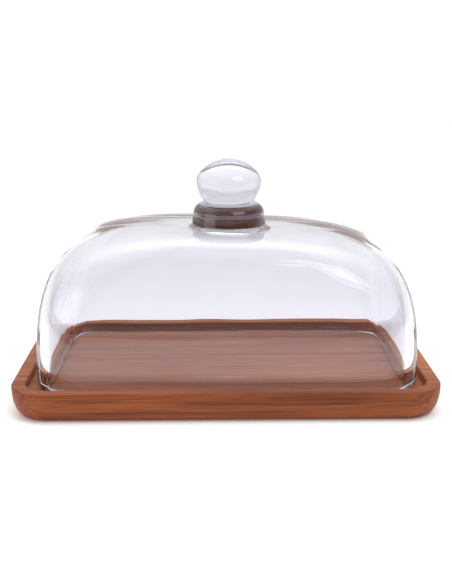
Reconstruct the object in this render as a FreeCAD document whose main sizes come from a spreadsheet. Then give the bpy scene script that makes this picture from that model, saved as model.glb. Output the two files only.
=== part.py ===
"""Rectangular glass dome with a fused knob, standing in the recess of a hardwood tray.

Millimetres, +Z up.  The origin is the centre of the tray's underside; X is the length.
"""
import FreeCAD, Part

import math
import os
import re

import Sketcher

# ---------------------------------------------------------------- driving dimensions
DIMENSIONS = (
    ("tray_length", 254.0, "tray, left to right"),
    ("tray_width", 158.0, "tray, front to back"),
    ("tray_height", 18.0, "tray, thickness of the board"),
    ("tray_corner", 22.5, "plan radius of the tray's corners"),
    ("under_inset", 7.0, "how far the rounded side draws in at the underside"),
    ("under_height", 15.5, "height of the rounded part of the side"),
    ("rim_width", 8.3, "flat rim round the recess"),
    ("rim_break", 0.8, "rounding on the rim's two edges"),
    ("recess_depth", 5.5, "depth of the recess below the rim"),
    ("stave_joint_rear", 10.0, "glue line between the rear and middle staves"),
    ("stave_joint_front", -40.0, "glue line between the middle and front staves"),
    ("dome_length", 229.8, "glass dome at its foot, left to right"),
    ("dome_width", 136.4, "glass dome at its foot, front to back"),
    ("dome_height", 88.3, "foot to crown"),
    ("dome_corner", 27.4, "plan radius of the dome's corners at the foot"),
    ("crown_land", 60.0, "small level square on the crown that carries the knob"),
    ("crown_corner", 29.0, "plan radius of that level square"),
    ("rise_power", 3.35, "fullness of the shoulder, upwards"),
    ("end_power", 4.2, "fullness of the shoulder at the two ends"),
    ("side_power", 4.4, "fullness of the shoulder at front and back"),
    ("corner_power", 3.5, "how late the corners round off towards the crown"),
    ("wall", 7.0, "glass thickness of the walls"),
    ("crown_wall", 5.0, "glass thickness of the crown"),
    ("foot_round", 3.0, "fire-polished rounding on the foot"),
    ("knob_shift", 2.0, "the knob was set slightly right of centre by hand"),
    ("collar_flare", 27.0, "collar radius where it spreads on to the dome"),
    ("collar_edge", 0.6, "height of the flare's thin edge"),
    ("collar_radius", 23.4, "collar radius at its side"),
    ("collar_height", 15.8, "collar height"),
    ("neck_radius", 15.5, "radius of the neck between collar and ball"),
    ("ball_radius", 20.2, "ball radius at its widest"),
    ("ball_height", 26.1, "ball height above the neck"),
    ("ball_widest", 12.5, "height of the ball's widest part above the neck"),
    ("ball_shoulder", 10.0, "radius of the ball's upper shoulder"),
)
SIDE_SECTIONS = 7       # sections through the tray's rounded side
DOME_SECTIONS = 16      # sections through the dome, foot to crown
CROWN_CROWDING = 1.6    # sections lie closer together towards the level crown
FOOT_CROWDING = 1.5     # and towards the upright foot
SLAB_MARGIN = 10        # how far a stave's cutting slab stands out past the board
ON_ORIGIN = (-1, 1)     # Sketcher's name for a sketch's origin point
VERTICAL_AXIS = -2      # Sketcher's name for a sketch's vertical axis

doc = FreeCAD.newDocument("glass_dome_on_tray")
sheet = doc.addObject("Spreadsheet::Sheet", "Size")
for row, (alias, value, meaning) in enumerate(DIMENSIONS, start=1):
    sheet.set("A%d" % row, meaning)
    sheet.set("B%d" % row, str(value))
    sheet.setAlias("B%d" % row, alias)
doc.recompute()


def size(expression):
    """The number that an expression in the sheet's aliases comes to."""
    return float(sheet.evalExpression(expression))


def bound(expression):
    """The same expression, as another object writes it."""
    aliases = "|".join(alias for alias, _value, _meaning in DIMENSIONS)
    return re.sub(r"\b(%s)\b" % aliases, r"Size.\1", expression)


# ---------------------------------------------------------------- sketch helpers
def new_body(label):
    body = doc.addObject("PartDesign::Body", label)
    body.Label = label
    return body


def new_sketch(body, name, plane, height="0"):
    """A sketch on one of the body's own origin planes, raised by an expression."""
    sketch = body.newObject("Sketcher::SketchObject", name)
    origin_plane = [item for item in body.Origin.OriginFeatures if item.Role == plane][0]
    sketch.AttachmentSupport = [(origin_plane, "")]
    sketch.MapMode = "FlatFace"
    sketch.AttachmentOffset = FreeCAD.Placement(
        FreeCAD.Vector(0, 0, size(height)), FreeCAD.Rotation())
    sketch.setExpression("AttachmentOffset.Base.z", bound(height))
    return sketch


def drive(sketch, name, expression, kind, *places):
    """Add one dimension to a sketch and tie it to the sheet."""
    index = sketch.addConstraint(Sketcher.Constraint(kind, *places, size(expression)))
    sketch.renameConstraint(index, name)
    sketch.setExpression("Constraints." + name, bound(expression))


def rounded_rectangle(body, name, length, width, corner, height="0"):
    """A rounded rectangle centred on the body's Z axis; every size is an expression."""
    sketch = new_sketch(body, name, "XY_Plane", height)
    half_x, half_y, radius = size(length) / 2, size(width) / 2, size(corner)
    inner_x, inner_y = half_x - radius, half_y - radius
    centres = ((inner_x, -inner_y), (inner_x, inner_y), (-inner_x, inner_y), (-inner_x, -inner_y))
    normal = FreeCAD.Vector(0, 0, 1)
    arcs = []
    for turn, (x, y) in enumerate(centres):
        circle = Part.Circle(FreeCAD.Vector(x, y, 0), normal, radius)
        start = (turn - 1) * math.pi / 2
        arcs.append(sketch.addGeometry(Part.ArcOfCircle(circle, start, start + math.pi / 2)))
    lines = []
    for turn in range(4):
        first = sketch.Geometry[arcs[turn]].EndPoint
        last = sketch.Geometry[arcs[(turn + 1) % 4]].StartPoint
        lines.append(sketch.addGeometry(Part.LineSegment(first, last)))
        sketch.addConstraint(Sketcher.Constraint("Tangent", arcs[turn], 2, lines[turn], 1))
        sketch.addConstraint(
            Sketcher.Constraint("Tangent", lines[turn], 2, arcs[(turn + 1) % 4], 1))
    for turn, direction in enumerate(("Vertical", "Horizontal", "Vertical", "Horizontal")):
        sketch.addConstraint(Sketcher.Constraint(direction, lines[turn]))
    for turn in (1, 2, 3):
        sketch.addConstraint(Sketcher.Constraint("Equal", arcs[0], arcs[turn]))
    sketch.addConstraint(Sketcher.Constraint("Symmetric", arcs[0], 3, arcs[2], 3, *ON_ORIGIN))
    drive(sketch, "length", length, "DistanceX", lines[2], 1, lines[0], 1)
    drive(sketch, "width", width, "DistanceY", lines[3], 1, lines[1], 1)
    drive(sketch, "corner", corner, "Radius", arcs[0])
    return sketch


def loft(body, kind, name, sections):
    feature = body.newObject("PartDesign::" + kind, name)
    feature.Profile = sections[0]
    feature.Sections = sections[1:]
    feature.Ruled = False
    doc.recompute()
    return feature


def round_edges(body, name, radius, wanted):
    """Round the edges of the body's last feature that lie wholly where wanted(point) says."""
    base = body.Tip
    names = []
    for number, edge in enumerate(base.Shape.Edges, start=1):
        middle = edge.valueAt((edge.FirstParameter + edge.LastParameter) / 2)
        if all(wanted(point) for point in [vertex.Point for vertex in edge.Vertexes] + [middle]):
            names.append("Edge%d" % number)
    feature = body.newObject("PartDesign::Fillet", name)
    feature.Base = (base, names)
    feature.Radius = size(radius)
    feature.setExpression("Radius", bound(radius))
    doc.recompute()
    return feature


# ---------------------------------------------------------------- wooden tray
def tray_board():
    """The whole board: elliptical lower side, straight upper side, recess, broken edges."""
    body = new_body("tray_board")
    sections = []
    for step in range(SIDE_SECTIONS):
        angle = 90.0 * step / (SIDE_SECTIONS - 1)
        inset = "under_inset * (1 - sin(%g deg))" % angle
        sections.append(rounded_rectangle(
            body, "side_%d" % step,
            "tray_length - 2 * %s" % inset,
            "tray_width - 2 * %s" % inset,
            "tray_corner - %s" % inset,
            "under_height * (1 - cos(%g deg))" % angle))
    loft(body, "AdditiveLoft", "rounded_side", sections)
    top = rounded_rectangle(
        body, "upper_outline", "tray_length", "tray_width", "tray_corner", "under_height")
    pad = body.newObject("PartDesign::Pad", "upper_side")
    pad.Profile = top
    pad.setExpression("Length", bound("tray_height - under_height"))
    doc.recompute()
    solid_volume = body.Shape.Volume

    recess_outline = rounded_rectangle(
        body, "recess_outline", "tray_length - 2 * rim_width", "tray_width - 2 * rim_width",
        "tray_corner - rim_width", "tray_height")
    recess = body.newObject("PartDesign::Pocket", "recess")
    recess.Profile = recess_outline
    recess.setExpression("Length", bound("recess_depth"))
    doc.recompute()
    area = size("(tray_length - 2 * rim_width) * (tray_width - 2 * rim_width)")
    area -= (4 - math.pi) * size("tray_corner - rim_width") ** 2
    removed = solid_volume - body.Shape.Volume
    if abs(removed - area * size("recess_depth")) > 1.0:
        raise RuntimeError("the recess removed %.1f mm3" % removed)

    top_z = size("tray_height")
    round_edges(body, "rim_edges", "rim_break", lambda point: abs(point.z - top_z) < 1e-6)
    return body


def stave(label, board, rear_edge, front_edge):
    """One edge-glued stave: the slice of the board between two glue lines."""
    slab = doc.addObject("Part::Box", label + "_slab")
    slab.setExpression("Length", bound("tray_length + %d" % (2 * SLAB_MARGIN)))
    slab.setExpression("Width", bound("%s - (%s)" % (rear_edge, front_edge)))
    slab.setExpression("Height", bound("tray_height + %d" % (2 * SLAB_MARGIN)))
    slab.setExpression("Placement.Base.x", bound("-tray_length / 2 - %d" % SLAB_MARGIN))
    slab.setExpression("Placement.Base.y", bound(front_edge))
    slab.setExpression("Placement.Base.z", bound("%d" % -SLAB_MARGIN))
    piece = doc.addObject("Part::Common", label)
    piece.Label = label
    piece.Base = board
    piece.Tool = slab
    return piece


# ---------------------------------------------------------------- glass dome
def dome_section(body, name, angle, thickness, crown_thickness):
    """One level section of the dome, between its foot (0 degrees) and crown (90 degrees).

    The shoulder is a superellipse: full at the ends, fuller still at front and back.
    The corner radius is a share of the section's width, and that share grows with height.
    """
    rise = "(sin(%g deg) ^ (2 / rise_power))" % angle
    land = "(crown_land - 2 * %s)" % thickness
    length = "%s + (dome_length - 2 * %s - %s) * cos(%g deg) ^ (2 / end_power)" % (
        land, thickness, land, angle)
    outer_width = "(crown_land + (dome_width - crown_land) * cos(%g deg) ^ (2 / side_power))" % angle
    width = "%s - 2 * %s" % (outer_width, thickness)
    foot_share = "dome_corner / dome_width"
    crown_share = "crown_corner / crown_land"
    corner = "%s * (%s + (%s - %s) * %s ^ corner_power) - %s" % (
        outer_width, foot_share, crown_share, foot_share, rise, thickness)
    height = "tray_height - recess_depth + (dome_height - %s) * %s" % (crown_thickness, rise)
    return rounded_rectangle(body, name, length, width, corner, height)


def dome_shell():
    body = new_body("dome_shell")
    steps = [(step / (DOME_SECTIONS - 1)) ** FOOT_CROWDING for step in range(DOME_SECTIONS)]
    angles = [90.0 * (1 - (1 - step) ** CROWN_CROWDING) for step in steps]
    outside = [dome_section(body, "outside_%d" % number, angle, "0", "0")
               for number, angle in enumerate(angles)]
    loft(body, "AdditiveLoft", "outside_form", outside)
    full_volume = body.Shape.Volume
    inside = [dome_section(body, "inside_%d" % number, angle, "wall", "crown_wall")
              for number, angle in enumerate(angles)]
    loft(body, "SubtractiveLoft", "hollow", inside)
    if body.Shape.Volume > 0.6 * full_volume:
        raise RuntimeError("the dome is not hollow")
    foot_z = size("tray_height - recess_depth")
    round_edges(body, "foot_edges", "foot_round", lambda point: abs(point.z - foot_z) < 1e-6)
    return body


# ---------------------------------------------------------------- glass knob
def revolve(body, sketch, name):
    feature = body.newObject("PartDesign::Revolution", name)
    feature.Profile = sketch
    feature.ReferenceAxis = (sketch, ["V_Axis"])
    feature.Angle = 360.0
    doc.recompute()
    return feature


def place_on_crown(body, height):
    body.setExpression("Placement.Base.x", bound("knob_shift"))
    body.setExpression("Placement.Base.z", bound("tray_height - recess_depth + " + height))


def line(sketch, first, last):
    return sketch.addGeometry(
        Part.LineSegment(FreeCAD.Vector(*first, 0), FreeCAD.Vector(*last, 0)))


def arc(sketch, centre, radius, start, end):
    circle = Part.Circle(FreeCAD.Vector(*centre, 0), FreeCAD.Vector(0, 0, 1), radius)
    return sketch.addGeometry(Part.ArcOfCircle(circle, math.radians(start), math.radians(end)))


def join(sketch, pairs, kind="Coincident"):
    for first, first_end, second, second_end in pairs:
        sketch.addConstraint(Sketcher.Constraint(kind, first, first_end, second, second_end))


def knob_collar():
    """A squat gather of glass: thin flare, straight side, round shoulder, level neck."""
    body = new_body("knob_collar")
    sketch = new_sketch(body, "collar_profile", "XZ_Plane")
    flare, edge = size("collar_flare"), size("collar_edge")
    side, neck, top = size("collar_radius"), size("neck_radius"), size("collar_height")
    fillet, shoulder = flare - side, side - neck
    base = line(sketch, (0, 0), (flare, 0))
    rim = line(sketch, (flare, 0), (flare, edge))
    spread = arc(sketch, (flare, edge + fillet), fillet, 180, 270)
    wall = line(sketch, (side, edge + fillet), (side, top - shoulder))
    round_over = arc(sketch, (neck, top - shoulder), shoulder, 0, 90)
    seat = line(sketch, (neck, top), (0, top))
    axis = line(sketch, (0, top), (0, 0))
    join(sketch, ((base, 1, *ON_ORIGIN), (base, 2, rim, 1), (rim, 2, spread, 2),
                  (seat, 2, axis, 1), (axis, 2, *ON_ORIGIN)))
    join(sketch, ((spread, 1, wall, 1), (wall, 2, round_over, 1), (round_over, 2, seat, 1)),
         "Tangent")
    sketch.addConstraint(Sketcher.Constraint("Vertical", spread, 2, spread, 3))
    for straight, direction in ((base, "Horizontal"), (rim, "Vertical"), (wall, "Vertical"),
                                (seat, "Horizontal"), (axis, "Vertical")):
        sketch.addConstraint(Sketcher.Constraint(direction, straight))
    drive(sketch, "flare", "collar_flare", "DistanceX", *ON_ORIGIN, base, 2)
    drive(sketch, "edge", "collar_edge", "DistanceY", rim, 1, rim, 2)
    drive(sketch, "side", "collar_radius", "DistanceX", *ON_ORIGIN, wall, 1)
    drive(sketch, "neck", "neck_radius", "DistanceX", *ON_ORIGIN, seat, 1)
    drive(sketch, "height", "collar_height", "DistanceY", *ON_ORIGIN, seat, 1)
    revolve(body, sketch, "collar_turned")
    place_on_crown(body, "dome_height")
    return body


def knob_ball():
    """The flattened ball: one arc below its widest part, a shoulder arc and a crown arc."""
    body = new_body("knob_ball")
    sketch = new_sketch(body, "ball_profile", "XZ_Plane")
    neck, widest = size("neck_radius"), size("ball_widest")
    radius, top, shoulder = size("ball_radius"), size("ball_height"), size("ball_shoulder")
    overhang = radius - neck
    lower = (overhang ** 2 + widest ** 2) / (2 * overhang)
    run, rise = radius - shoulder, top - widest
    crown = (run ** 2 + rise ** 2 - shoulder ** 2) / (2 * (rise - shoulder))
    lower_start = -math.degrees(math.asin(widest / lower))
    blend = math.degrees(math.atan2(widest - (top - crown), run))
    base = line(sketch, (0, 0), (neck, 0))
    belly = arc(sketch, (radius - lower, widest), lower, lower_start, 0)
    upper = arc(sketch, (run, widest), shoulder, 0, blend)
    cap = arc(sketch, (0, top - crown), crown, blend, 90)
    axis = line(sketch, (0, top), (0, 0))
    join(sketch, ((base, 1, *ON_ORIGIN), (base, 2, belly, 1), (cap, 2, axis, 1),
                  (axis, 2, *ON_ORIGIN)))
    join(sketch, ((belly, 2, upper, 1), (upper, 2, cap, 1)), "Tangent")
    sketch.addConstraint(Sketcher.Constraint("Horizontal", base))
    sketch.addConstraint(Sketcher.Constraint("Vertical", axis))
    sketch.addConstraint(Sketcher.Constraint("Horizontal", belly, 3, belly, 2))
    sketch.addConstraint(Sketcher.Constraint("PointOnObject", cap, 3, VERTICAL_AXIS))
    drive(sketch, "neck", "neck_radius", "DistanceX", *ON_ORIGIN, base, 2)
    drive(sketch, "widest_radius", "ball_radius", "DistanceX", *ON_ORIGIN, belly, 2)
    drive(sketch, "widest_height", "ball_widest", "DistanceY", *ON_ORIGIN, belly, 2)
    drive(sketch, "shoulder", "ball_shoulder", "Radius", upper)
    drive(sketch, "height", "ball_height", "DistanceY", *ON_ORIGIN, axis, 1)
    revolve(body, sketch, "ball_turned")
    place_on_crown(body, "dome_height + collar_height")
    return body


# ---------------------------------------------------------------- assemble, check, write
board = tray_board()
pieces = [
    stave("tray_stave_rear", board, "tray_width / 2 + %d" % SLAB_MARGIN, "stave_joint_rear"),
    stave("tray_stave_middle", board, "stave_joint_rear", "stave_joint_front"),
    stave("tray_stave_front", board, "stave_joint_front", "-tray_width / 2 - %d" % SLAB_MARGIN),
    dome_shell(),
    knob_collar(),
    knob_ball(),
]
doc.recompute()

for item in doc.Objects:
    if "Invalid" in item.State or "Error" in item.State:
        raise RuntimeError("%s failed to compute: %s" % (item.Name, item.State))
for piece in pieces:
    if piece.Shape.isNull() or not piece.Shape.isValid():
        raise RuntimeError("%s has no valid shape" % piece.Label)

os.makedirs("parts", exist_ok=True)
for piece in pieces:
    piece.Shape.exportStep("parts/%s.step" % piece.Label)
    box = piece.Shape.optimalBoundingBox(False, False)
    print("%-18s solids %d  volume %8.0f mm3  x %.1f..%.1f  y %.1f..%.1f  z %.1f..%.1f" % (
        piece.Label, len(piece.Shape.Solids), piece.Shape.Volume,
        box.XMin, box.XMax, box.YMin, box.YMax, box.ZMin, box.ZMax))
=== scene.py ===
"""A pressed-glass dome with a fused knob, on a tray of edge-glued acacia staves.

Metres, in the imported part's frame: origin under the centre of the tray, +Z up, X along its length.
"""

import math

import bmesh
import bpy
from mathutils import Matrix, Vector, noise


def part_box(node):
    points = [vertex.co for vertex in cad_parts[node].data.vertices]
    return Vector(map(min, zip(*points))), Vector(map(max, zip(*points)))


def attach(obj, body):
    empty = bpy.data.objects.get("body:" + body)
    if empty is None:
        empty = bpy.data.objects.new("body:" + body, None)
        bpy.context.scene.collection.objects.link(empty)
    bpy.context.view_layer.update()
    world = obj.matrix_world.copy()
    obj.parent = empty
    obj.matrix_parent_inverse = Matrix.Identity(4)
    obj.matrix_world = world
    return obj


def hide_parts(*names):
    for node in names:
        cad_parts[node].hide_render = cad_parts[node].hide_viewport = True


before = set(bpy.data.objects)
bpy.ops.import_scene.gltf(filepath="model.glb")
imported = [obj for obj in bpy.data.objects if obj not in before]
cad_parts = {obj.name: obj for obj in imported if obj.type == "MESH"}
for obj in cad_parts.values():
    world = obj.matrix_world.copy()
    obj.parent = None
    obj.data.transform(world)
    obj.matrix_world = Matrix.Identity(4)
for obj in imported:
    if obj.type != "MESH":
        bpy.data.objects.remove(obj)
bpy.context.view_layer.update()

MM = 0.001
scene = bpy.context.scene

# ---------------------------------------------------------------- sizes from the frame
TRAY_HIGH = Vector(max(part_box(n)[1][i] for n in ("tray_stave_rear", "tray_stave_front")) for i in range(3))
TRAY_X, TRAY_Y, TRAY_TOP = TRAY_HIGH
GLUE_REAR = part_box("tray_stave_rear")[0].y
GLUE_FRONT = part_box("tray_stave_front")[1].y
DOME_LOW, DOME_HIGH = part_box("dome_shell")
DOME_X = DOME_HIGH.x
DOME_Y = DOME_HIGH.y
COLLAR_LOW, COLLAR_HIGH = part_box("knob_collar")
FOOT_Z = DOME_LOW.z
CROWN_Z = COLLAR_LOW.z
BALL_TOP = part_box("knob_ball")[1].z

# ---------------------------------------------------------------- camera and studio
CAMERA_LENS = 75.0
CAMERA_PLACE = (-0.00925, -0.58295, 0.21264)
CAMERA_DOWN = 14.90         # degrees below the horizon
CAMERA_TURN = -0.97         # degrees to the right of +Y

FRONT_RADIANCE = 0.10
SIDE_RADIANCE = 0.40
BACK_RADIANCE = 1.05
CEILING_GAIN = 3.1
CEILING = ((0.03, 1.0), (0.14, 0.78), (0.50, 0.95), (0.92, CEILING_GAIN))   # upward share, gain
FILL_RADIANCE = 3.1
LEFT_RADIANCE = 1.1
RIGHT_RADIANCE = 3.0
SOFTBOX_AIM = (0.0, 0.0, 0.10)
SOFTBOX_WIDTH = 0.46
SOFTBOX_HEIGHT = 0.36

FLOOR = (-2.0, 2.0, 2.0)                        # near edge, far edge, half width
FLOOR_FADE = (-0.31, -0.235, 0.26, 0.93)        # from y, to y, albedo before, albedo after
FLOOR_GLOW = 0.16


def make_camera():
    """A product view from a little above, looking down on to the tray, square to its front."""
    data = bpy.data.cameras.new("camera")
    data.sensor_fit = "HORIZONTAL"
    data.sensor_width = 36.0
    data.lens = CAMERA_LENS
    data.clip_start = 0.01
    camera = bpy.data.objects.new("camera", data)
    camera.location = CAMERA_PLACE
    camera.rotation_euler = (math.radians(90 - CAMERA_DOWN), 0.0, math.radians(CAMERA_TURN))
    scene.collection.objects.link(camera)
    scene.camera = camera


def softbox(name, place, target, width, height, radiance):
    """A rectangular soft light that shows in reflections but not to the camera."""
    data = bpy.data.lights.new(name, "AREA")
    data.shape = "RECTANGLE"
    data.size = width
    data.size_y = height
    data.energy = radiance * width * height * math.pi
    light = bpy.data.objects.new(name, data)
    light.location = place
    aim = Vector(target) - Vector(place)
    light.rotation_euler = aim.to_track_quat("-Z", "Y").to_euler()
    light.visible_camera = False
    scene.collection.objects.link(light)
    return light


def grey(level):
    """An opaque grey for a colour socket or a ramp stop."""
    return (level, level, level, 1.0)


def make_world():
    """White behind, dim in front; greyer just above the table's level, bright overhead."""
    world = bpy.data.worlds.new("studio")
    scene.world = world
    world.use_nodes = True
    nodes, links = world.node_tree.nodes, world.node_tree.links
    background = nodes["Background"]
    coords = nodes.new("ShaderNodeTexCoord")
    split = nodes.new("ShaderNodeSeparateXYZ")
    links.new(coords.outputs["Generated"], split.inputs[0])

    turned = nodes.new("ShaderNodeMapRange")
    turned.inputs["From Min"].default_value = -1.0
    turned.inputs["From Max"].default_value = 1.0
    around = nodes.new("ShaderNodeValToRGB")
    around.color_ramp.interpolation = "EASE"
    front, back = around.color_ramp.elements
    front.position = 0.10
    front.color = grey(FRONT_RADIANCE)
    back.position = 0.90
    back.color = grey(BACK_RADIANCE)
    around.color_ramp.elements.new(0.50).color = grey(SIDE_RADIANCE)
    links.new(split.outputs["Y"], turned.inputs["Value"])
    links.new(turned.outputs["Result"], around.inputs["Fac"])
    links.new(around.outputs["Color"], background.inputs["Color"])

    upward = nodes.new("ShaderNodeValToRGB")
    upward.color_ramp.interpolation = "EASE"
    stops = upward.color_ramp.elements
    for height, gain in CEILING[1:-1]:
        stops.new(height).color = grey(gain / CEILING_GAIN)
    for stop, (height, gain) in ((stops[0], CEILING[0]), (stops[len(stops) - 1], CEILING[-1])):
        stop.position = height
        stop.color = grey(gain / CEILING_GAIN)
    scaled = nodes.new("ShaderNodeMath")
    scaled.operation = "MULTIPLY"
    scaled.inputs[1].default_value = CEILING_GAIN
    links.new(split.outputs["Z"], upward.inputs["Fac"])
    links.new(upward.outputs["Color"], scaled.inputs[0])
    links.new(scaled.outputs[0], background.inputs["Strength"])


def make_lights():
    """Two softboxes that show in the glass, and a fill over the front rim that does not."""
    fill = softbox("front_fill", (0.0, -0.115, 0.30), (0.0, -0.115, 0.0), 0.32, 0.10, FILL_RADIANCE)
    fill.visible_glossy = False
    fill.visible_transmission = False
    for name, place, radiance in (("left_softbox", (-0.56, -0.30, 0.24), LEFT_RADIANCE),
                                  ("right_softbox", (0.34, -0.42, 0.62), RIGHT_RADIANCE)):
        softbox(name, place, SOFTBOX_AIM, SOFTBOX_WIDTH, SOFTBOX_HEIGHT, radiance)


def make_floor():
    """A seamless pale floor: slightly self-lit under and behind the object, greyer in front."""
    near, far, half_width = FLOOR
    data = bpy.data.meshes.new("floor")
    data.from_pydata([(-half_width, near, 0), (half_width, near, 0), (half_width, far, 0),
                      (-half_width, far, 0)], [], [(0, 1, 2, 3)])
    floor = bpy.data.objects.new("floor", data)
    scene.collection.objects.link(floor)
    material = bpy.data.materials.new("floor_white")
    material.use_nodes = True
    nodes, links = material.node_tree.nodes, material.node_tree.links
    shader = nodes["Principled BSDF"]
    coords = nodes.new("ShaderNodeTexCoord")
    split = nodes.new("ShaderNodeSeparateXYZ")
    links.new(coords.outputs["Object"], split.inputs[0])
    fade = nodes.new("ShaderNodeMapRange")
    fade.interpolation_type = "SMOOTHSTEP"
    for socket, value in zip(("From Min", "From Max", "To Min", "To Max"), FLOOR_FADE):
        fade.inputs[socket].default_value = value
    links.new(split.outputs["Y"], fade.inputs["Value"])
    links.new(fade.outputs["Result"], shader.inputs["Base Color"])
    links.new(fade.outputs["Result"], shader.inputs["Emission Color"])
    shader.inputs["Emission Strength"].default_value = FLOOR_GLOW
    shader.inputs["Roughness"].default_value = 0.9
    shader.inputs["Specular IOR Level"].default_value = 0.0
    floor.data.materials.append(material)


# ---------------------------------------------------------------- mesh helpers
CORNER_STEPS = 24
LONG_STEPS = 30
SHORT_STEPS = 18


def turned_share(degrees):
    """How far a quarter round still is from its end: 1 at 0 degrees, 0 at 90 degrees, by sine."""
    return 1 - math.sin(math.radians(degrees))


def risen_share(degrees):
    """How far a quarter round has risen: 0 at 0 degrees, 1 at 90 degrees, by cosine."""
    return 1 - math.cos(math.radians(degrees))


def rounded_loop(half_x, half_y, radius, height):
    """Points round a rounded rectangle, anticlockwise from the right-hand side's lower end."""
    radius = min(radius, half_x, half_y)
    inner_x, inner_y = half_x - radius, half_y - radius
    points = []
    corners = ((inner_x, inner_y, 0, SHORT_STEPS), (-inner_x, inner_y, 90, LONG_STEPS),
               (-inner_x, -inner_y, 180, SHORT_STEPS), (inner_x, -inner_y, 270, LONG_STEPS))
    for index, (x, y, start, side_steps) in enumerate(corners):
        previous_x, previous_y = corners[index - 1][:2]
        reach_x = radius * math.cos(math.radians(start))
        reach_y = radius * math.sin(math.radians(start))
        for step in range(side_steps):
            share = step / side_steps
            points.append((previous_x + reach_x + (x - previous_x) * share,
                           previous_y + reach_y + (y - previous_y) * share))
        for step in range(CORNER_STEPS):
            angle = math.radians(start + 90.0 * step / CORNER_STEPS)
            points.append((x + radius * math.cos(angle), y + radius * math.sin(angle)))
    return [Vector((x, y, height)) for x, y in points]


def bridge_loops(mesh, loops):
    """Quads between one closed loop of vertices and the next."""
    rings = [[mesh.verts.new(point) for point in loop] for loop in loops]
    count = len(rings[0])
    for lower, upper in zip(rings, rings[1:]):
        for index in range(count):
            after = (index + 1) % count
            mesh.faces.new((lower[index], lower[after], upper[after], upper[index]))
    return rings


def finish_mesh(mesh, name):
    """A smooth-shaded object from a finished bmesh, its normals all facing out."""
    bmesh.ops.recalc_face_normals(mesh, faces=mesh.faces)
    data = bpy.data.meshes.new(name)
    mesh.to_mesh(data)
    mesh.free()
    for face in data.polygons:
        face.use_smooth = True
    piece = bpy.data.objects.new(name, data)
    scene.collection.objects.link(piece)
    return piece


# ---------------------------------------------------------------- glass
DOME_CORNER = 27.4 * MM
LAND = 30.0 * MM                # half the small level square on the crown
LAND_CORNER = 29.0 * MM
RISE_POWER = 3.35
END_POWER = 4.2
SIDE_POWER = 4.4
CORNER_POWER = 3.5
WALL = 7.0 * MM
CROWN_WALL = 5.0 * MM
FOOT_ROUND = 3.0 * MM
FOOT_STEP = 15                  # degrees between the loops of the rounded foot
DOME_SECTIONS = 56
LAND_SHARES = (0.35, 0.7)       # loops between the crown's square and the collar's circle

LEAN = 0.024                    # the crown dips to the right by this slope
DOME_SHIFT = 0.7 * MM
PRESSED_WAVE = 0.5 * MM         # unevenness of the pressed shell
FOOT_WAVE = 0.6 * MM            # unevenness of the foot

KNOB_X = (COLLAR_LOW.x + COLLAR_HIGH.x) / 2 + 0.3 * MM
COLLAR_FLARE = 26.0 * MM
COLLAR_SIDE = 22.9 * MM
COLLAR_SHOULDER = 22.3 * MM
SHOULDER_Z = COLLAR_HIGH.z - 7.5 * MM
SHOULDER_POWER = 1.95
NECK = 14.0 * MM
NECK_Z = COLLAR_HIGH.z - 0.2 * MM
BALL = 20.05 * MM
BALL_Z = COLLAR_HIGH.z + 12.7 * MM
BALL_LOWER_POWER = 1.78
BALL_UPPER_POWER = 1.82

CLEAR_TINT = (0.890, 0.889, 0.938)
# The collar's dark colour is painted shade: it stands in for the dark refraction the collar shows, and it is
# laid on from just above the crown up to the neck
COLLAR_PAINTED_SHADE = (0.20, 0.21, 0.26)
BALL_TINT = (0.80, 0.80, 0.88)
COLLAR_PAINTED_SHADE_Z = CROWN_Z + 1.5 * MM


def dome_loop(turn, thickness, crown_thickness):
    """The dome's section at a turn of 0 (foot) to 90 degrees (crown), thickness inside its face."""
    rise = math.sin(math.radians(turn)) ** (2 / RISE_POWER)
    across = max(math.cos(math.radians(turn)), 0.0)
    land = LAND - thickness
    half_x = land + (DOME_X - thickness - land) * across ** (2 / END_POWER)
    half_y = land + (DOME_Y - thickness - land) * across ** (2 / SIDE_POWER)
    foot_share = DOME_CORNER / DOME_Y
    crown_share = LAND_CORNER / LAND
    corner_share = foot_share + (crown_share - foot_share) * rise ** CORNER_POWER
    radius = (half_y + thickness) * corner_share - thickness
    height = FOOT_Z + (CROWN_Z - FOOT_Z - crown_thickness) * rise
    return rounded_loop(half_x, half_y, radius, height)


def dome_side(thickness, crown_thickness):
    """All sections above the rounded foot, closer together at both ends."""
    loops = []
    for number in range(DOME_SECTIONS):
        share = (number / (DOME_SECTIONS - 1)) ** 1.6
        turn = 90.0 * (1 - (1 - share) ** 1.8)
        loops.append(dome_loop(turn, thickness, crown_thickness))
    return [loop for loop in loops if loop[0].z > FOOT_Z + FOOT_ROUND]


def foot_loops(thickness, inwards):
    """The foot's quarter round, from its lowest loop up; inwards is 1 outside and -1 inside."""
    loops = []
    for angle in range(0, 90, FOOT_STEP):
        inset = thickness + inwards * FOOT_ROUND * turned_share(angle)
        loops.append(rounded_loop(DOME_X - inset, DOME_Y - inset, DOME_CORNER - inset,
                                  FOOT_Z + FOOT_ROUND * risen_share(angle)))
    return loops


def quarter(steps, power):
    """(across, up) shares along a quarter of a superellipse, from its side to its top."""
    shares = []
    for step in range(steps + 1):
        angle = math.radians(90.0 * step / steps)
        across = max(math.cos(angle), 0.0) ** (2 / power)
        shares.append((across, math.sin(angle) ** (2 / power)))
    return shares


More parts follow.
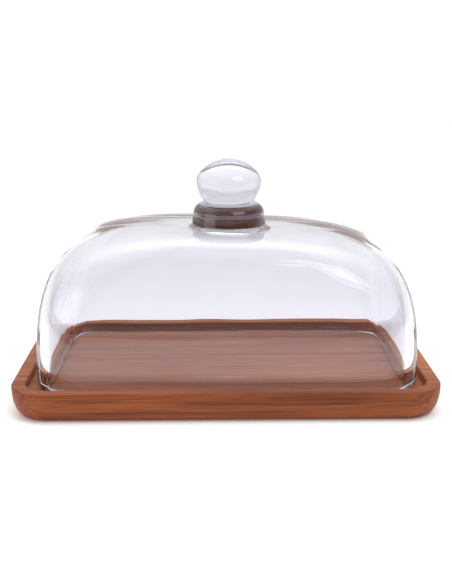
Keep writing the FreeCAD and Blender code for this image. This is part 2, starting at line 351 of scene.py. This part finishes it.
def knob_profile():
    """(radius, height) from the welded flare to the top of the ball."""
    fillet = COLLAR_FLARE - COLLAR_SIDE
    low = CROWN_Z + fillet
    profile = []
    for step in range(11):
        angle = 90.0 * step / 10
        profile.append((COLLAR_SIDE + fillet * turned_share(angle), CROWN_Z + fillet * risen_share(angle)))
    for share in (0.2, 0.4, 0.6, 0.8):
        radius = COLLAR_SIDE - (COLLAR_SIDE - COLLAR_SHOULDER) * share
        profile.append((radius, low + (SHOULDER_Z - low) * share))
    for across, up in quarter(16, SHOULDER_POWER):
        radius = NECK + (COLLAR_SHOULDER - NECK) * across
        profile.append((radius, SHOULDER_Z + (NECK_Z - SHOULDER_Z) * up))
    for across, down in reversed(quarter(20, BALL_LOWER_POWER)[:-1]):
        profile.append((NECK + (BALL - NECK) * across, BALL_Z - (BALL_Z - NECK_Z) * down))
    for across, up in quarter(28, BALL_UPPER_POWER)[1:-1]:
        profile.append((BALL * across, BALL_Z + (BALL_TOP - BALL_Z) * up))
    return profile


def ring_like(loop, radius, height):
    """A circle round the knob's axis whose points follow the directions of a loop's points."""
    points = []
    for point in loop:
        direction = Vector((point.x - KNOB_X, point.y)).normalized()
        points.append(Vector((KNOB_X + radius * direction.x, radius * direction.y, height)))
    return points


def knob_loops(land):
    """Loops from the crown's level square to the top of the ball."""
    profile = knob_profile()
    circle = ring_like(land, profile[0][0], CROWN_Z)
    between = [[a.lerp(b, share) for a, b in zip(land, circle)] for share in LAND_SHARES]
    return between + [ring_like(land, radius, height) for radius, height in profile]


def unsettle(mesh):
    """The slight lean, shift and waviness of a pressed dome with a knob set by hand."""
    for vertex in mesh.verts:
        point = vertex.co
        if point.z >= CROWN_Z + 1.0 * MM:
            vertex.co.z -= LEAN * KNOB_X
            continue
        up = min(max((point.z - FOOT_Z) / (CROWN_Z - FOOT_Z), 0.0), 1.0)
        wave = noise.noise(point * 22.0) * 0.5 + noise.noise(point * 55.0) * 0.22
        wave *= min(up * 6.0, 1.0) * PRESSED_WAVE
        wave += max(1.0 - up * 7.0, 0.0) * noise.noise(point * 75.0) * FOOT_WAVE
        outward = Vector((point.x / DOME_X, point.y / DOME_Y, up * 0.8)).normalized()
        vertex.co = point + outward * wave
        vertex.co.x += DOME_SHIFT
        vertex.co.z -= LEAN * point.x * up ** 3


def glass_material(name, tint):
    """Clear glass with a colour: slight for the shell and ball, dark for the collar as painted shade."""
    material = bpy.data.materials.new(name)
    material.use_nodes = True
    shader = material.node_tree.nodes["Principled BSDF"]
    shader.inputs["Base Color"].default_value = (*tint, 1.0)
    shader.inputs["Roughness"].default_value = 0.0
    shader.inputs["IOR"].default_value = 1.5
    shader.inputs["Transmission Weight"].default_value = 1.0
    return material


def make_glass():
    """Shell, collar and ball as the one fused piece that the real glass is."""
    outside = dome_side(0.0, 0.0)
    inside = dome_side(WALL, CROWN_WALL)
    mesh = bmesh.new()
    rings = bridge_loops(mesh, inside[::-1] + foot_loops(WALL, -1)[::-1] + foot_loops(0.0, 1)
                         + outside + knob_loops(outside[-1]))
    for ring, height in ((rings[0], inside[-1][0].z), (rings[-1], BALL_TOP)):
        centre = sum((vertex.co for vertex in ring), Vector()) / len(ring)
        pole = mesh.verts.new((centre.x, centre.y, height))
        for index in range(len(ring)):
            mesh.faces.new((ring[index], ring[(index + 1) % len(ring)], pole))
    unsettle(mesh)

    cover = finish_mesh(mesh, "glass_cover")
    for name, tint in (("clear_glass", CLEAR_TINT), ("collar_glass_painted_shade", COLLAR_PAINTED_SHADE),
                       ("ball_glass", BALL_TINT)):
        cover.data.materials.append(glass_material(name, tint))
    for face in cover.data.polygons:
        if face.center.z > NECK_Z:
            face.material_index = 2
        # faces from here up to the neck get the collar's painted shade
        elif face.center.z > COLLAR_PAINTED_SHADE_Z:
            face.material_index = 1
    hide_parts("dome_shell", "knob_collar", "knob_ball")
    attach(cover, "cover")


# ---------------------------------------------------------------- wood
TRAY_CORNER = 22.5 * MM
UNDER_INSET = 7.0 * MM
UNDER_HEIGHT = 15.5 * MM
UNDER_STEPS = 14
RIM = 8.3 * MM
RIM_BREAK = 0.9 * MM
RECESS = 5.5 * MM
FLOOR_FILLET = 0.8 * MM
EDGE_ANGLES = (0.0, 22.5, 45.0, 67.5, 90.0)

STAVES = (
    # name, low y, high y, grain seed, then its dark, middle and light tones
    ("rear", GLUE_REAR, TRAY_Y, 1.0,
     (0.165, 0.036, 0.011), (0.385, 0.096, 0.026), (0.540, 0.168, 0.054)),
    ("middle", GLUE_FRONT, GLUE_REAR, 2.0,
     (0.210, 0.052, 0.017), (0.415, 0.112, 0.034), (0.560, 0.185, 0.068)),
    ("front", -TRAY_Y, GLUE_FRONT, 3.0,
     (0.148, 0.035, 0.010), (0.325, 0.081, 0.020), (0.465, 0.141, 0.039)),
)
LINE_SHADE = (0.50, 0.40, 0.36, 1.0)
PORE_SHADE = (0.55, 0.45, 0.42, 1.0)
BLACK = (0.0, 0.0, 0.0)
WHITE = (1.0, 1.0, 1.0)


def tray_loops():
    """The tray's skin, from the underside round the rim to the recess floor."""
    stations = []
    for step in range(UNDER_STEPS + 1):
        angle = 90.0 * step / UNDER_STEPS
        stations.append((UNDER_INSET * turned_share(angle), UNDER_HEIGHT * risen_share(angle)))
    for angle in EDGE_ANGLES:
        stations.append((RIM_BREAK * risen_share(angle), TRAY_TOP - RIM_BREAK * turned_share(angle)))
    for angle in EDGE_ANGLES:
        stations.append((RIM - RIM_BREAK * turned_share(angle), TRAY_TOP - RIM_BREAK * risen_share(angle)))
    floor = TRAY_TOP - RECESS
    for angle in EDGE_ANGLES:
        inset = RIM + FLOOR_FILLET * risen_share(angle)
        stations.append((inset, floor + FLOOR_FILLET * turned_share(angle)))
    return [rounded_loop(TRAY_X - inset, TRAY_Y - inset, TRAY_CORNER - inset, height)
            for inset, height in stations]


def make_stave(name, low_y, high_y):
    """One stave: the whole tray's skin, cut at its glue lines and closed again."""
    mesh = bmesh.new()
    rings = bridge_loops(mesh, tray_loops())
    mesh.faces.new(list(reversed(rings[0])))
    mesh.faces.new(rings[-1])
    for cut_y, normal in ((low_y, -1), (high_y, 1)):
        if abs(cut_y) > TRAY_Y - 1 * MM:
            continue
        geometry = mesh.verts[:] + mesh.edges[:] + mesh.faces[:]
        cut = bmesh.ops.bisect_plane(mesh, geom=geometry, dist=1e-7, plane_co=(0, cut_y, 0),
                                     plane_no=(0, normal, 0), clear_outer=True)
        edges = [item for item in cut["geom_cut"] if isinstance(item, bmesh.types.BMEdge)]
        bmesh.ops.holes_fill(mesh, edges=edges, sides=0)
    return finish_mesh(mesh, name)


def wood_material(name, seed, dark, middle, light):
    """Oiled acacia: drawn-out growth bands, fine streaks, dark lines and open pores along X."""
    material = bpy.data.materials.new(name)
    material.use_nodes = True
    nodes, links = material.node_tree.nodes, material.node_tree.links
    shader = nodes["Principled BSDF"]
    coords = nodes.new("ShaderNodeTexCoord")
    offset = (seed * 0.37, seed * 1.71, seed * 0.83)

    def grain(scale, detail, roughness=0.5, distortion=0.0):
        """Noise drawn out along X; scale is features per metre along each axis."""
        mapping = nodes.new("ShaderNodeMapping")
        mapping.inputs["Location"].default_value = offset
        mapping.inputs["Scale"].default_value = scale
        links.new(coords.outputs["Object"], mapping.inputs["Vector"])
        texture = nodes.new("ShaderNodeTexNoise")
        texture.inputs["Scale"].default_value = 1.0
        texture.inputs["Detail"].default_value = detail
        texture.inputs["Roughness"].default_value = roughness
        texture.inputs["Distortion"].default_value = distortion
        links.new(mapping.outputs["Vector"], texture.inputs["Vector"])
        return texture.outputs["Fac"]

    def scaled(value, factor, added=0.0):
        """value times factor plus added, where added is a number or a socket."""
        node = nodes.new("ShaderNodeMath")
        node.operation = "MULTIPLY_ADD"
        links.new(value, node.inputs[0])
        node.inputs[1].default_value = factor
        if isinstance(added, float):
            node.inputs[2].default_value = added
        else:
            links.new(added, node.inputs[2])
        return node.outputs[0]

    def ramp(factor, stops):
        """Colours of a factor, from (position, colour) stops."""
        node = nodes.new("ShaderNodeValToRGB")
        elements = node.color_ramp.elements
        for element, (position, colour) in ((elements[0], stops[0]), (elements[1], stops[-1])):
            element.position = position
            element.color = (*colour, 1.0)
        for position, colour in stops[1:-1]:
            elements.new(position).color = (*colour, 1.0)
        links.new(factor, node.inputs["Fac"])
        return node.outputs["Color"]

    def shaded(colour, mask, shade, strength):
        """colour multiplied by a darker shade where the mask is white."""
        mix = nodes.new("ShaderNodeMix")
        mix.data_type = "RGBA"
        mix.blend_type = "MULTIPLY"
        links.new(scaled(mask, strength), mix.inputs[0])
        links.new(colour, mix.inputs[6])
        mix.inputs[7].default_value = shade
        return mix.outputs[2]

    broad = grain((3.0, 22.0, 26.0), 2.0, 0.5, 0.8)
    bands = grain((7.0, 130.0, 140.0), 4.0, 0.6, 0.7)
    streaks = grain((20.0, 900.0, 900.0), 3.0, 0.6)
    lines = grain((6.0, 420.0, 420.0), 2.0, 0.5, 0.5)
    pores = grain((90.0, 2400.0, 2400.0), 1.0)

    tone = scaled(streaks, 0.40, scaled(bands, 0.24, scaled(broad, 0.36)))
    colour = ramp(tone, ((0.36, dark), (0.50, middle), (0.64, light)))
    line_mask = ramp(lines, ((0.56, BLACK), (0.70, WHITE)))
    pore_mask = ramp(pores, ((0.60, BLACK), (0.72, WHITE)))
    colour = shaded(colour, line_mask, LINE_SHADE, 0.75)
    colour = shaded(colour, pore_mask, PORE_SHADE, 0.6)
    links.new(colour, shader.inputs["Base Color"])
    links.new(scaled(streaks, 0.20, 0.38), shader.inputs["Roughness"])
    shader.inputs["IOR"].default_value = 1.33

    bump = nodes.new("ShaderNodeBump")
    bump.inputs["Strength"].default_value = 0.25
    bump.inputs["Distance"].default_value = 0.0004
    links.new(scaled(pore_mask, -0.6, scaled(streaks, 0.5)), bump.inputs["Height"])
    links.new(bump.outputs["Normal"], shader.inputs["Normal"])
    return material


def make_tray():
    """The three glued staves, each with its own grain and tone."""
    for word, low_y, high_y, seed, dark, middle, light in STAVES:
        piece = make_stave("stave_" + word, low_y, high_y)
        piece.data.materials.append(wood_material("acacia_" + word, seed, dark, middle, light))
        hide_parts("tray_stave_" + word)
        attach(piece, "tray")


# ---------------------------------------------------------------- assemble
make_camera()
make_world()
make_lights()
make_floor()
make_tray()
make_glass()

scene.view_settings.view_transform = "Standard"
scene.view_settings.look = "None"
scene.cycles.max_bounces = 32
scene.cycles.transmission_bounces = 28
scene.cycles.glossy_bounces = 28
scene.cycles.diffuse_bounces = 4
scene.cycles.caustics_reflective = True
scene.cycles.caustics_refractive = True
scene.cycles.blur_glossy = 0.3
